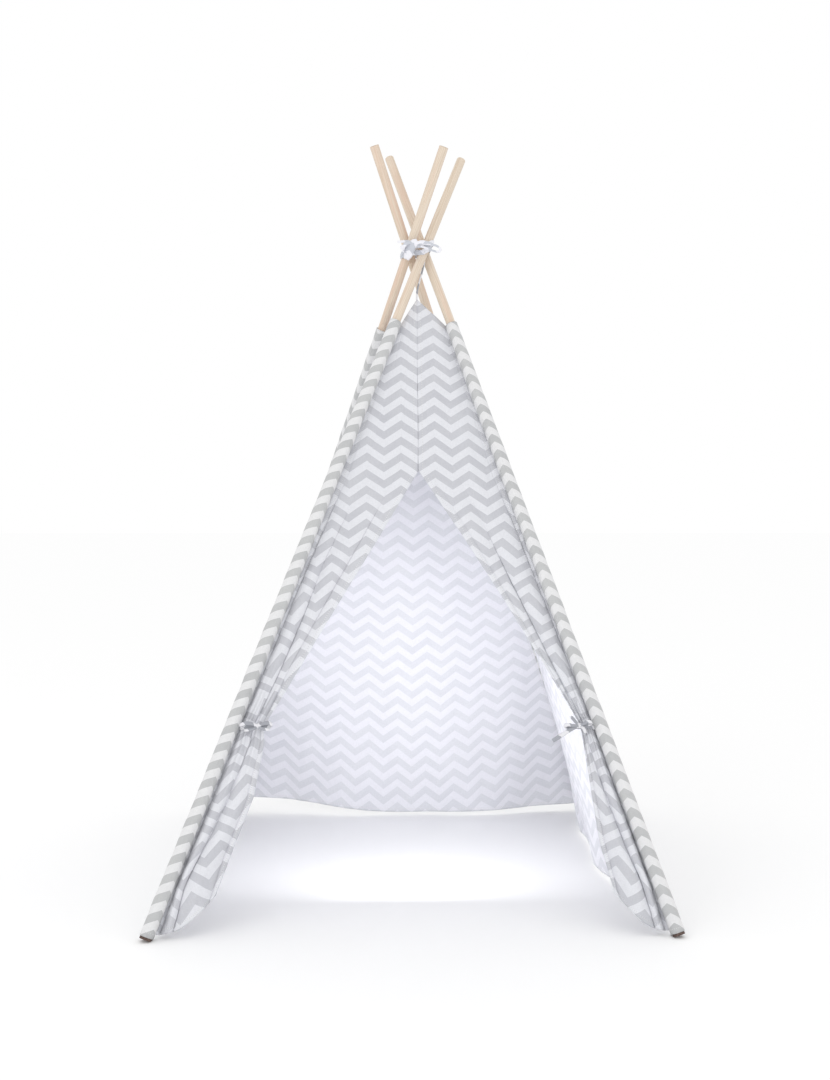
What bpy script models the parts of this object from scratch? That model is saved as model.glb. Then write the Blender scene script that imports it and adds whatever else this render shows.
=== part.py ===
"""A four-pole cotton play tent: sectioned poles lashed at the crown, a sewn cover, tied-back door.

Metres, +Z up. The origin is on the floor under the middle of the tent, and the door faces -Y.
Every pole turns about its own crossing point at the crown, so each has an empty there as its parent.
"""
import math

import bmesh
import bpy
from mathutils import Matrix, Vector

# Driving dimensions of the stance
BASE_WIDTH = 1.0
BASE_DEPTH = 1.0
CROWN_HEIGHT = 1.384
CROWN_FORWARD = 0.030
CROWN_ASIDE = 0.018
LASH_SPREAD_X = 0.0175
LASH_SPREAD_Y = 0.0148

# Poles, connectors and feet
GAP = 0.0003
POLE_RADIUS = 0.010
POLE_LENGTH = 1.800
POLE_SECTIONS = ("lower", "middle", "upper")
POLE_SIDES = 20
POLE_EDGE = 0.0015
FOOT_START = 0.0036
CAP_FLOOR = 0.004
CAP_DEPTH = 0.026
CAP_WALL = 0.0014
FERRULE_LENGTH = 0.070
FERRULE_WALL = 0.0011

# Cover
CLOTH = 0.0014
SLEEVE_START = 0.0086
SLEEVE_INNER = 0.0121
SLEEVE_OUTER = 0.0133
SLEEVE_TOP_FROM_CROWN = 0.190
SEAM_GAP = 0.0008
PANEL_COLUMNS = 8
PANEL_ROWS = 11
HEM_CORNER = 0.014
HEM_MIDDLE = 0.007
BELOW_SLEEVE_TOP = 0.004
BACK_SAG = 0.055
SIDE_SAG = 0.065
SAG_POWER = 2.4

# Door: the two front halves meet at a centre seam above the door and are tied back below it
SEAM_X = 0.0172
PEAK_Z = 1.2714
APEX_Z = 0.8875
TIE_Z = 0.372
TIE_HALF = 0.012
TAIL_Z = 0.078
FRONT_OUTER_TOP = 1.216
FRONT_OUTER_HEM = 0.012
FRONT_HALVES = {
    "left": {"corner": "front_left", "tie_x": -0.292, "tail_x": -0.373, "bow_x": -0.3010},
    "right": {"corner": "front_right", "tie_x": 0.334, "tail_x": 0.384, "bow_x": 0.3295},
}
TAIL_BOW = 0.012
FRONT_COLUMNS = 4
SEAM_ROWS = 3
DOOR_ROWS = 5
TAIL_ROWS = 4

# Ribbons and string
RIBBON_HALF = 0.0045
RIBBON_THICK = 0.0010
STRAP_GAP = 0.0016
STRAP_BEND = 0.0015
TIE_CLEAR = 0.0030
BOW_THICK = 0.0035
LASH_INNER = 0.0145
LASH_OUTER = 0.0172
LASH_HALF = 0.006
CORNER_STEPS = 5
LASH_BOW_THICK = 0.0060
STRING_DIAMETER = 0.0025
STRING_ROUTE = (
    (0.0172, -0.0690, 1.2775),
    (0.0186, -0.0660, 1.2920),
    (0.0235, -0.0590, 1.3120),
    (0.0290, -0.0510, 1.3330),
    (0.0335, -0.0425, 1.3520),
    (0.0350, -0.0358, 1.3670),
)
STRING_STEPS = 4

# Feet stand at these quarters of the base, seen from above
CORNERS = {
    "front_left": (-1, -1),
    "front_right": (1, -1),
    "back_right": (1, 1),
    "back_left": (-1, 1),
}
WALLS = {
    "left": ("front_left", "back_left", Vector((1, 0, 0)), SIDE_SAG),
    "right": ("back_right", "front_right", Vector((-1, 0, 0)), SIDE_SAG),
    "back": ("back_left", "back_right", Vector((0, -1, 0)), BACK_SAG),
}

# Bow outlines in their own plane: across, up
LEFT_BOW = (
    (-0.0045, 0.0045), (-0.0150, 0.0085), (-0.0290, 0.0090), (-0.0350, 0.0035), (-0.0300, -0.0050),
    (-0.0150, -0.0045), (-0.0060, -0.0040), (-0.0075, -0.0160), (-0.0010, -0.0170), (0.0020, -0.0050),
    (0.0130, -0.0085), (0.0240, -0.0070), (0.0270, 0.0020), (0.0200, 0.0085), (0.0100, 0.0070),
    (0.0045, 0.0045),
)
RIGHT_BOW = (
    (-0.0045, 0.0045), (-0.0150, 0.0195), (-0.0205, 0.0150), (-0.0100, 0.0030), (-0.0300, 0.0040),
    (-0.0320, -0.0030), (-0.0210, -0.0060), (-0.0530, -0.0260), (-0.0490, -0.0330), (-0.0060, -0.0070),
    (-0.0020, -0.0050), (0.0060, -0.0150), (0.0110, -0.0120), (0.0090, -0.0040), (0.0200, -0.0040),
    (0.0240, 0.0030), (0.0180, 0.0080), (0.0045, 0.0045),
)
CROWN_BOW = (
    (-0.0060, 0.0060), (-0.0150, 0.0080), (-0.0370, 0.0070), (-0.0380, 0.0015), (-0.0160, -0.0010),
    (-0.0240, -0.0160), (-0.0290, -0.0330), (-0.0190, -0.0360), (-0.0130, -0.0200), (-0.0040, -0.0060),
    (0.0100, -0.0060), (0.0420, -0.0200), (0.0570, -0.0210), (0.0600, -0.0110), (0.0500, -0.0020),
    (0.0200, 0.0040), (0.0060, 0.0060),
)


def remove_everything():
    """Start from an empty scene."""
    for item in list(bpy.data.objects):
        bpy.data.objects.remove(item, do_unlink=True)


def material(name, colour, roughness, metallic=0.0):
    """Return a plain Principled material."""
    made = bpy.data.materials.new(name)
    made.use_nodes = True
    shader = made.node_tree.nodes["Principled BSDF"]
    shader.inputs["Base Color"].default_value = (*colour, 1.0)
    shader.inputs["Roughness"].default_value = roughness
    shader.inputs["Metallic"].default_value = metallic
    return made


def add_object(name, shape, finish, parent=None):
    """Turn a bmesh into a named object, smooth where it is round."""
    mesh = bpy.data.meshes.new(name)
    shape.to_mesh(mesh)
    shape.free()
    mesh.materials.append(finish)
    mesh.shade_smooth()
    mesh.set_sharp_from_angle(angle=math.radians(40))
    made = bpy.data.objects.new(name, mesh)
    bpy.context.scene.collection.objects.link(made)
    made.parent = parent
    return made


def add_empty(name, place):
    """Add a guide empty with the given world matrix."""
    made = bpy.data.objects.new(name, None)
    made.empty_display_size = 0.05
    bpy.context.scene.collection.objects.link(made)
    made.matrix_world = place
    return made


def crossing(corner):
    """Return where a pole's axis passes the crown: each pole lies a quarter turn on from its foot."""
    side, depth = CORNERS[corner]
    x = CROWN_ASIDE - depth * LASH_SPREAD_X
    y = side * LASH_SPREAD_Y - CROWN_FORWARD
    return Vector((x, y, CROWN_HEIGHT))


def foot(corner):
    """Return where a pole's axis meets the floor."""
    side, depth = CORNERS[corner]
    return Vector((side * BASE_WIDTH / 2, depth * BASE_DEPTH / 2, 0))


def axis_point(corner, height):
    """Return the point of a pole's axis at a height above the floor."""
    return foot(corner).lerp(crossing(corner), height / CROWN_HEIGHT)


def reach(corner):
    """Return the length of pole between the floor and its crossing."""
    return (crossing(corner) - foot(corner)).length


def sleeve_top_height(corner):
    """Return the height where a pole leaves its sleeve."""
    return CROWN_HEIGHT * (1 - SLEEVE_TOP_FROM_CROWN / reach(corner))


def turned(profile, sides):
    """Spin a closed profile of (radius, height) points about Z into one solid."""
    shape = bmesh.new()
    points = [shape.verts.new((radius, 0, height)) for radius, height in profile]
    for here, there in zip(points, points[1:] + points[:1]):
        shape.edges.new((here, there))
    bmesh.ops.spin(
        shape,
        geom=shape.verts[:] + shape.edges[:],
        cent=(0, 0, 0),
        axis=(0, 0, 1),
        angle=math.tau,
        steps=sides,
        use_merge=True,
    )
    bmesh.ops.remove_doubles(shape, verts=shape.verts[:], dist=0.00001)
    bmesh.ops.recalc_face_normals(shape, faces=shape.faces[:])
    return shape


def pipe(inner, outer, low, high):
    """Return a plain tube about Z."""
    return turned([(inner, low), (outer, low), (outer, high), (inner, high)], POLE_SIDES)


def pole_section(low, high):
    """Return a length of dowel with lightly eased ends."""
    edge = POLE_EDGE
    profile = [
        (0, low),
        (POLE_RADIUS - edge, low),
        (POLE_RADIUS, low + edge),
        (POLE_RADIUS, high - edge),
        (POLE_RADIUS - edge, high),
        (0, high),
    ]
    return turned(profile, POLE_SIDES)


def foot_cap(pivot, low):
    """Return a rubber cup whose lower rim is worn flat where it stands on the floor."""
    outer = POLE_RADIUS + GAP + CAP_WALL
    inner = POLE_RADIUS + GAP
    high = low + CAP_DEPTH
    profile = [
        (0, low),
        (outer, low),
        (outer, high),
        (inner, high),
        (inner, low + CAP_FLOOR),
        (0, low + CAP_FLOOR),
    ]
    shape = turned(profile, POLE_SIDES)
    to_local = pivot.matrix_world.inverted()
    floor_point = to_local @ Vector((0, 0, 0))
    floor_normal = to_local.to_3x3() @ Vector((0, 0, -1))
    cut = bmesh.ops.bisect_plane(
        shape,
        geom=shape.verts[:] + shape.edges[:] + shape.faces[:],
        plane_co=floor_point,
        plane_no=floor_normal,
        clear_outer=True,
    )
    rim = [item for item in cut["geom_cut"] if isinstance(item, bmesh.types.BMEdge)]
    bmesh.ops.holes_fill(shape, edges=rim, sides=0)
    bmesh.ops.recalc_face_normals(shape, faces=shape.faces[:])
    return shape


def build_pole(corner, finishes):
    """Make one pole: three dowel sections, two connectors, its foot cap and its cloth sleeve."""
    up = (crossing(corner) - foot(corner)).normalized()
    place = Matrix.Translation(crossing(corner)) @ up.to_track_quat("Z", "Y").to_matrix().to_4x4()
    pivot = add_empty("pivot_" + corner, place)
    start = -reach(corner)
    pole_start = FOOT_START + CAP_FLOOR + GAP
    section = (POLE_LENGTH - pole_start) / len(POLE_SECTIONS)

    add_object("foot_cap_" + corner, foot_cap(pivot, start + FOOT_START), finishes["rubber"], pivot)
    for number, part in enumerate(POLE_SECTIONS):
        low = start + pole_start + number * section
        high = low + section - GAP
        add_object("pole_" + corner + "_" + part, pole_section(low, high), finishes["wood"], pivot)
        if number:
            ring = pipe(
                POLE_RADIUS + GAP,
                POLE_RADIUS + GAP + FERRULE_WALL,
                low - FERRULE_LENGTH / 2,
                low + FERRULE_LENGTH / 2,
            )
            below = POLE_SECTIONS[number - 1]
            add_object("connector_" + corner + "_" + below, ring, finishes["metal"], pivot)
    sleeve = pipe(SLEEVE_INNER, SLEEVE_OUTER, start + SLEEVE_START, -SLEEVE_TOP_FROM_CROWN)
    add_object("sleeve_" + corner, sleeve, finishes["cloth"], pivot)


def beside(corner, other, height):
    """Return a point just clear of a sleeve, on the side that faces another pole."""
    here = axis_point(corner, height)
    towards = axis_point(other, height) - here
    lean = reach(corner) / CROWN_HEIGHT
    level_radius = SLEEVE_OUTER * (1 + lean) / 2
    return here + towards.normalized() * (level_radius + SEAM_GAP)


def cloth_solid(name, rows, finish):
    """Turn rows of points into a sheet of the cloth's thickness."""
    shape = bmesh.new()
    grid = [[shape.verts.new(point) for point in row] for row in rows]
    for upper, lower in zip(grid, grid[1:]):
        for column in range(len(upper) - 1):
            shape.faces.new((upper[column], lower[column], lower[column + 1], upper[column + 1]))
    made = add_object(name, shape, finish)
    solid = made.modifiers.new("Thickness", "SOLIDIFY")
    solid.thickness = CLOTH
    solid.offset = 0
    return made


def build_wall(name, finishes):
    """Make a side or back wall: a flat gore above, sagging inwards to a full hem."""
    first, second, inwards, sag = WALLS[name]
    top = min(sleeve_top_height(first), sleeve_top_height(second)) - BELOW_SLEEVE_TOP
    rows = []
    for step in range(PANEL_ROWS):
        down = step / (PANEL_ROWS - 1)
        row = []
        for column in range(PANEL_COLUMNS + 1):
            across = column / PANEL_COLUMNS
            swell = math.sin(math.pi * across)
            hem = HEM_CORNER + (HEM_MIDDLE - HEM_CORNER) * swell
            height = top + (hem - top) * down
            flat = beside(first, second, height).lerp(beside(second, first, height), across)
            row.append(flat + inwards * sag * swell * down**SAG_POWER)
        rows.append(row)
    cloth_solid(name + "_panel", rows, finishes["cloth"])


def spaced(first, last, steps):
    """Return evenly spaced numbers from first to last."""
    return [first + (last - first) * step / steps for step in range(steps + 1)]


def door_edge(half, height):
    """Return the free edge of a front half at a height: centre seam, door edge, neck, then tail."""
    tie_x = half["tie_x"]
    if height >= APEX_Z:
        return SEAM_X
    if height >= TIE_Z + TIE_HALF:
        share = (APEX_Z - height) / (APEX_Z - TIE_Z - TIE_HALF)
        return SEAM_X + (tie_x - SEAM_X) * share
    if height >= TIE_Z - TIE_HALF:
        return tie_x
    share = (TIE_Z - TIE_HALF - height) / (TIE_Z - TIE_HALF - TAIL_Z)
    bulge = math.copysign(TAIL_BOW, tie_x) * math.sin(math.pi * share)
    return tie_x + (half["tail_x"] - tie_x) * share - bulge


def partner(name):
    """Return the pole at the other end of the front from a half's own pole."""
    return "front_right" if name == "left" else "front_left"


def front_point(x, height):
    """Return the point of the front plane at a place across and a height."""
    left = axis_point("front_left", height)
    right = axis_point("front_right", height)
    return left.lerp(right, (x - left.x) / (right.x - left.x))


def build_front_half(name, finishes):
    """Make one half of the front, from the peak down its centre seam and tied-back door edge."""
    half = FRONT_HALVES[name]
    seam_side = -GAP if name == "left" else GAP
    heights = spaced(PEAK_Z, APEX_Z, SEAM_ROWS)[:-1]
    heights += spaced(APEX_Z, TIE_Z + TIE_HALF, DOOR_ROWS)
    heights += spaced(TIE_Z - TIE_HALF, TAIL_Z, TAIL_ROWS)
    rows = []
    for height in heights:
        upward = (height - TAIL_Z) / (PEAK_Z - TAIL_Z)
        outer_height = FRONT_OUTER_HEM + (FRONT_OUTER_TOP - FRONT_OUTER_HEM) * upward
        outer = beside(half["corner"], partner(name), outer_height)
        inner = front_point(door_edge(half, height) + seam_side, height)
        rows.append([outer.lerp(inner, share) for share in spaced(0, 1, FRONT_COLUMNS)])
    cloth_solid("front_" + name + "_panel", rows, finishes["cloth"])


def front_frame(x, height):
    """Return the world matrix of a flat frame on the front plane: X across, Y up, Z outwards."""
    here = front_point(x, height)
    across = (front_point(x + 0.05, height) - here).normalized()
    up = (front_point(x, height + 0.05) - here).normalized()
    out = across.cross(up).normalized()
    up = out.cross(across)
    return Matrix.Translation(here) @ Matrix((across, up, out)).transposed().to_4x4()


def prism(outline, low, high, place):
    """Extrude a flat outline from one height to another along its frame's Z."""
    shape = bmesh.new()
    face = shape.faces.new([shape.verts.new((x, y, low)) for x, y in outline])
    grown = bmesh.ops.extrude_face_region(shape, geom=[face])
    top = [item for item in grown["geom"] if isinstance(item, bmesh.types.BMVert)]
    bmesh.ops.translate(shape, verts=top, vec=(0, 0, high - low))
    bmesh.ops.recalc_face_normals(shape, faces=shape.faces[:])
    bmesh.ops.transform(shape, matrix=place, verts=shape.verts[:])
    return shape


def arc(centre_x, centre_y, radius, first, last, steps):
    """Return points along an arc, angles in degrees."""
    angles = [math.radians(angle) for angle in spaced(first, last, steps)]
    return [(centre_x + radius * math.cos(a), centre_y + radius * math.sin(a)) for a in angles]


def build_tie(name, finishes):
    """Make a tie-back: a strap from the sleeve's seam round the gathered neck, and its bow."""
    half = FRONT_HALVES[name]
    side = math.copysign(1, half["tie_x"])
    frame = front_frame(half["tie_x"], TIE_Z)
    sleeve = beside(half["corner"], partner(name), TIE_Z)
    length = (sleeve - frame.translation).length - STRAP_GAP
    inner = TIE_CLEAR
    outer = TIE_CLEAR + RIBBON_THICK
    bend = -side * STRAP_BEND
    start, end = (90, -90) if side < 0 else (90, 270)
    outline = [(side * length, outer)] + arc(bend, 0, outer, start, end, 8) + [(side * length, -outer)]
    outline += [(side * length, -inner)] + arc(bend, 0, inner, end, start, 8) + [(side * length, inner)]
    flat = frame @ Matrix.Rotation(math.radians(90), 4, "X")
    strap = prism(outline, -RIBBON_HALF, RIBBON_HALF, flat)
    add_object(name + "_tie_ribbon", strap, finishes["ribbon"])

    bow_frame = front_frame(half["bow_x"], TIE_Z)
    outline = LEFT_BOW if name == "left" else RIGHT_BOW
    front = outer + GAP
    add_object(name + "_tie_bow", prism(outline, front, front + BOW_THICK, bow_frame), finishes["ribbon"])


def rounded_loop(half_x, half_y, radius):
    """Return the outline of a rectangle grown by a radius."""
    outline = arc(half_x, half_y, radius, 0, 90, CORNER_STEPS)
    outline += arc(-half_x, half_y, radius, 90, 180, CORNER_STEPS)
    outline += arc(-half_x, -half_y, radius, 180, 270, CORNER_STEPS)
    outline += arc(half_x, -half_y, radius, 270, 360, CORNER_STEPS)
    return outline


def build_lashing(finishes):
    """Make the crown's ribbon: a band round all the poles, and the bow in front of it."""
    shape = bmesh.new()
    loops = []
    for radius in (LASH_INNER, LASH_OUTER):
        for height in (-LASH_HALF, LASH_HALF):
            loop = []
            for x, y in rounded_loop(LASH_SPREAD_X, LASH_SPREAD_Y, radius):
                loop.append(shape.verts.new((x + CROWN_ASIDE, y - CROWN_FORWARD, CROWN_HEIGHT + height)))
            loops.append(loop)
    inner_low, inner_high, outer_low, outer_high = loops
    around = [inner_low, inner_high, outer_high, outer_low, inner_low]
    for first, second in zip(around, around[1:]):
        for number in range(len(first)):
            after = (number + 1) % len(first)
            shape.faces.new((first[number], first[after], second[after], second[number]))
    bmesh.ops.recalc_face_normals(shape, faces=shape.faces[:])
    add_object("crown_lashing", shape, finishes["ribbon"])

    front = -CROWN_FORWARD - LASH_SPREAD_Y - LASH_OUTER - GAP
    upright = Matrix.Translation((CROWN_ASIDE, front, CROWN_HEIGHT)) @ Matrix.Rotation(math.radians(90), 4, "X")
    add_object("crown_bow", prism(CROWN_BOW, 0, LASH_BOW_THICK, upright), finishes["ribbon"])


def smooth_route(points, steps):
    """Return a Catmull-Rom curve through the given points."""
    places = [Vector(point) for point in points]
    places = [places[0] * 2 - places[1]] + places + [places[-1] * 2 - places[-2]]
    curve = []
    for before, start, end, after in zip(places, places[1:], places[2:], places[3:]):
        for step in range(steps):
            t = step / steps
            curve.append(
                0.5
                * (
                    2 * start
                    + (end - before) * t
                    + (2 * before - 5 * start + 4 * end - after) * t**2
                    + (3 * start - 3 * end + after - before) * t**3
                )
            )
    return curve + [places[-2]]


def build_string(finishes):
    """Make the short cord that holds the front's peak up to the crown."""
    route = smooth_route(STRING_ROUTE, STRING_STEPS)
    curve = bpy.data.curves.new("peak_string", "CURVE")
    curve.dimensions = "3D"
    curve.bevel_depth = STRING_DIAMETER / 2
    curve.bevel_resolution = 2
    curve.use_fill_caps = True
    line = curve.splines.new("POLY")
    line.points.add(len(route) - 1)
    for point, place in zip(line.points, route):
        point.co = (*place, 1)
    curve.materials.append(finishes["ribbon"])
    made = bpy.data.objects.new("peak_string", curve)
    bpy.context.scene.collection.objects.link(made)


def main():
    """Build the whole tent."""
    remove_everything()
    finishes = {
        "wood": material("pine_dowel", (0.72, 0.55, 0.38), 0.55),
        "metal": material("aluminium_connector", (0.62, 0.63, 0.65), 0.35, 1.0),
        "rubber": material("rubber_foot", (0.035, 0.033, 0.030), 0.75),
        "cloth": material("printed_cotton", (0.66, 0.67, 0.70), 0.9),
        "ribbon": material("cotton_ribbon", (0.60, 0.62, 0.65), 0.85),
    }
    for corner in CORNERS:
        build_pole(corner, finishes)
    for wall in WALLS:
        build_wall(wall, finishes)
    for half in FRONT_HALVES:
        build_front_half(half, finishes)
        build_tie(half, finishes)
    build_lashing(finishes)
    build_string(finishes)


main()
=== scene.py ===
"""A cotton play tent on four lashed pine poles, with its door halves tied back.

Metres, +Z up, the door towards -Y.
"""
import math
import bmesh
import bpy
from mathutils import Matrix, Vector, noise


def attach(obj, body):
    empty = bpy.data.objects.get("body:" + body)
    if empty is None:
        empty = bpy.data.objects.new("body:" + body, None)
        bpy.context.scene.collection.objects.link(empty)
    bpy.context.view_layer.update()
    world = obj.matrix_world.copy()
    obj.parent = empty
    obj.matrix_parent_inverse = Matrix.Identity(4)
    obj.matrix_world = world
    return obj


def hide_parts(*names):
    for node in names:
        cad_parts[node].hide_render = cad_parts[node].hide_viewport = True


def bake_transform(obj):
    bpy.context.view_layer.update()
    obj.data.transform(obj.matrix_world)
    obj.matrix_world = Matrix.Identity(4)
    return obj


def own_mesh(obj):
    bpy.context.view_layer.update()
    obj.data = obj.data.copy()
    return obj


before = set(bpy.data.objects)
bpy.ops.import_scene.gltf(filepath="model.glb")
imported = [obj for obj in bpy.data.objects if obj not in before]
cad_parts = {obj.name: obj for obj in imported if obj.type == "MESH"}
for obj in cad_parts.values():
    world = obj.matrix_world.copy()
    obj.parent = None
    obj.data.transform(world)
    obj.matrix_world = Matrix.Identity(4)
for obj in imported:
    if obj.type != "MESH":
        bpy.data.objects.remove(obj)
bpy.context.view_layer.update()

# The stance
HALF_BASE = 0.5
CROWN = Vector((0.018, -0.030, 1.384))
SPREAD_X = 0.0175
SPREAD_Y = 0.0148
CORNERS = {
    "front_left": (-1, -1),
    "front_right": (1, -1),
    "back_right": (1, 1),
    "back_left": (-1, 1),
}

# Poles
POLE_RADIUS = 0.010
POLE_LENGTH = 1.800
POLE_START = 0.0079
SECTIONS = ("lower", "middle", "upper")

# Cover
SLEEVE_RADIUS = 0.0131
SLEEVE_START = 0.0088
SLEEVE_TOP = 0.190
CLOTH = 0.0009
SEAM_ASIDE = 0.0118
SEAM_INSIDE = 0.0092
WALL_TOP = 1.212
WALL_SLOPE = 0.93

# The print: one period across, one stripe pair up, and how far each zigzag climbs
ZIGZAG_WIDE = 0.0738
ZIGZAG_TALL = 0.0372
ZIGZAG_RISE = 0.0262
WALL_PRINT_ASIDE = 0.015
WALL_PRINT_DOWN = 0.011
SEWN_IN = 0.009
STITCH = 0.0019

# Front
SEAM_X = 0.0172
PEAK_Z = 1.2714
APEX_Z = 0.8875
TIE_Z = 0.372
OUTER_TOP = 1.216
OUTER_HEM = 0.012

# A distance from any sewn edge at which no stitch shows
UNSEWN = 0.2

# Vertices closer than this are merged into one
WELD = 0.00002

# The peak's string, from the peak to the crown
STRING_WIDE = 0.0042
STRING_TWIST = 260
STRING_ROUTE = (
    (0.0171, -0.0715, 1.2670),
    (0.0172, -0.0690, 1.2775),
    (0.0186, -0.0660, 1.2920),
    (0.0235, -0.0590, 1.3120),
    (0.0290, -0.0510, 1.3330),
    (0.0335, -0.0425, 1.3520),
    (0.0350, -0.0358, 1.3670),
)


# ---------------------------------------------------------------- camera

def add_camera():
    """Stand the camera at a child's eye height, a little left of the door's middle."""
    data = bpy.data.cameras.new("camera")
    data.lens = 39.84
    data.sensor_width = 36
    camera = bpy.data.objects.new("camera", data)
    camera.location = (-0.0503, -2.7161, 0.7865)
    camera.rotation_euler = (math.radians(88.946), 0, math.radians(-1.369))
    bpy.context.scene.collection.objects.link(camera)
    bpy.context.scene.camera = camera


add_camera()


# ---------------------------------------------------------------- materials

def linear(code):
    """Turn an sRGB hex code into a linear colour."""
    parts = [int(code[i:i + 2], 16) / 255 for i in (0, 2, 4)]
    return [p / 12.92 if p <= 0.04045 else ((p + 0.055) / 1.055) ** 2.4 for p in parts] + [1]


def add_node(tree, kind, inputs=None, **settings):
    """Add a node, set its options, and fill or link its inputs."""
    node = tree.nodes.new(kind)
    for name, value in settings.items():
        setattr(node, name, value)
    for socket, value in (inputs or {}).items():
        if isinstance(value, bpy.types.NodeSocket):
            tree.links.new(value, node.inputs[socket])
        else:
            node.inputs[socket].default_value = value
    return node


def new_material(name, **shader_values):
    """Return a material and its tree, with constant values set on the shader itself."""
    made = bpy.data.materials.new(name)
    made.use_nodes = True
    shader = made.node_tree.nodes["Principled BSDF"]
    for socket, value in shader_values.items():
        shader.inputs[socket.replace("_", " ")].default_value = value
    return made, made.node_tree, shader


def blend_colours(tree, share, first, second):
    """Return the colour that goes from first to second with share."""
    mix = add_node(tree, "ShaderNodeMix", data_type="RGBA")
    for number, value in ((0, share), (6, first), (7, second)):
        if isinstance(value, bpy.types.NodeSocket):
            tree.links.new(value, mix.inputs[number])
        else:
            mix.inputs[number].default_value = value
    return mix.outputs[2]


def math_node(tree, operation, first, second=0.0, third=0.0):
    """Return its inputs put together by one operation."""
    inputs = {0: first, 1: second, 2: third}
    return add_node(tree, "ShaderNodeMath", inputs, operation=operation).outputs[0]


def noise_node(tree, place, scale, detail):
    """Return noise at a place; a scale of three numbers stretches it."""
    if isinstance(scale, tuple):
        place = add_node(tree, "ShaderNodeMapping", {"Vector": place, "Scale": scale}).outputs[0]
        scale = 1
    inputs = {"Vector": place, "Scale": scale, "Detail": detail}
    return add_node(tree, "ShaderNodeTexNoise", inputs).outputs[0]


def remap(tree, value, low, high, start=0.0, end=1.0, smooth=False):
    """Return value moved from the range low to high into the range start to end, and held there."""
    ranges = {"Value": value, "From Min": low, "From Max": high, "To Min": start, "To Max": end}
    kind = "SMOOTHSTEP" if smooth else "LINEAR"
    return add_node(tree, "ShaderNodeMapRange", ranges, interpolation_type=kind).outputs["Result"]


def shade_colour(tree, colour, shade):
    """Return colour darkened or lightened by shade."""
    mix = add_node(tree, "ShaderNodeMix", data_type="RGBA", blend_type="MULTIPLY")
    mix.inputs[0].default_value = 1
    tree.links.new(colour, mix.inputs[6])
    tree.links.new(shade, mix.inputs[7])
    return mix.outputs[2]


def finish_shader(tree, shader, colour, height, strength, distance):
    """Feed a shader its colour and its relief."""
    tree.links.new(colour, shader.inputs["Base Color"])
    relief = {"Height": height, "Strength": strength, "Distance": distance}
    tree.links.new(add_node(tree, "ShaderNodeBump", relief).outputs[0], shader.inputs["Normal"])


def zigzag_cotton(name, ground, ink, worn_ink):
    """Plain-weave cotton, screen-printed in one colour: matt, with soft-edged zigzags and slubby threads."""
    made, tree, shader = new_material(
        name, Roughness=0.92, Sheen_Weight=0.12, Sheen_Roughness=0.6, Specular_IOR_Level=0.25
    )
    place = add_node(tree, "ShaderNodeUVMap", uv_map="print").outputs["UV"]
    parts = add_node(tree, "ShaderNodeSeparateXYZ", {"Vector": place})
    across, up = parts.outputs["X"], parts.outputs["Y"]

    # Weft and warp: slubs are about 1.4 mm wide here, three real threads, so that they still show
    weft = noise_node(tree, place, (90, 700, 1), 2)
    warp = noise_node(tree, place, (700, 90, 1), 2)
    threads = math_node(tree, "ADD", weft, warp)

    # Zigzag: a triangle wave across lifts and drops the stripes, and ink fills every other half stripe
    wave = math_node(tree, "PINGPONG", across, ZIGZAG_WIDE / 2)
    lift = math_node(tree, "MULTIPLY", wave, 2 * ZIGZAG_RISE / ZIGZAG_WIDE)
    stripe = math_node(tree, "PINGPONG", math_node(tree, "SUBTRACT", up, lift), ZIGZAG_TALL / 2)
    ragged = math_node(tree, "MULTIPLY_ADD", threads, 0.0012, -0.0012)
    edge = math_node(tree, "ADD", stripe, ragged)
    printed = remap(tree, edge, ZIGZAG_TALL / 4 - 0.0004, ZIGZAG_TALL / 4 + 0.0004, smooth=True)

    # The ink is thinner where the cloth has rubbed, in patches a hand wide
    wear = remap(tree, noise_node(tree, place, 11, 3), 0.35, 0.7)
    ink_colour = blend_colours(tree, wear, linear(ink), linear(worn_ink))
    cloth_colour = blend_colours(tree, printed, linear(ground), ink_colour)

    # Stitches 2.6 mm long run 9 mm in from each sewn edge, in a shallow needle line
    sewing = add_node(tree, "ShaderNodeUVMap", uv_map="sewing").outputs["UV"]
    sewn = add_node(tree, "ShaderNodeSeparateXYZ", {"Vector": sewing})
    away = math_node(tree, "ABSOLUTE", math_node(tree, "SUBTRACT", sewn.outputs["X"], SEWN_IN))
    line = remap(tree, away, 0.0004, 0.0009, 1, 0)
    dash = math_node(tree, "PINGPONG", sewn.outputs["Y"], STITCH)
    dash = math_node(tree, "GREATER_THAN", dash, 0.0006)
    stitch = math_node(tree, "MULTIPLY", line, dash)
    gap = math_node(tree, "SUBTRACT", line, stitch)

    # Threads darken and lighten the colour a little, and painted shade darkens the sunken needle line between
    # stitches
    shade = remap(tree, threads, 0.7, 1.3, 0.935, 1.03)
    shade = math_node(tree, "SUBTRACT", shade, math_node(tree, "MULTIPLY", gap, 0.25))
    shaded = shade_colour(tree, cloth_colour, shade)
    colour = blend_colours(tree, math_node(tree, "MULTIPLY", stitch, 0.35), shaded, linear("F4F4F2"))

    # Relief: threads, and the stitches standing in their needle line
    height = math_node(tree, "MULTIPLY", threads, 0.5)
    height = math_node(tree, "SUBTRACT", height, math_node(tree, "MULTIPLY", gap, 0.8))
    finish_shader(tree, shader, colour, height, 0.45, 0.0005)
    return made


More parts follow.
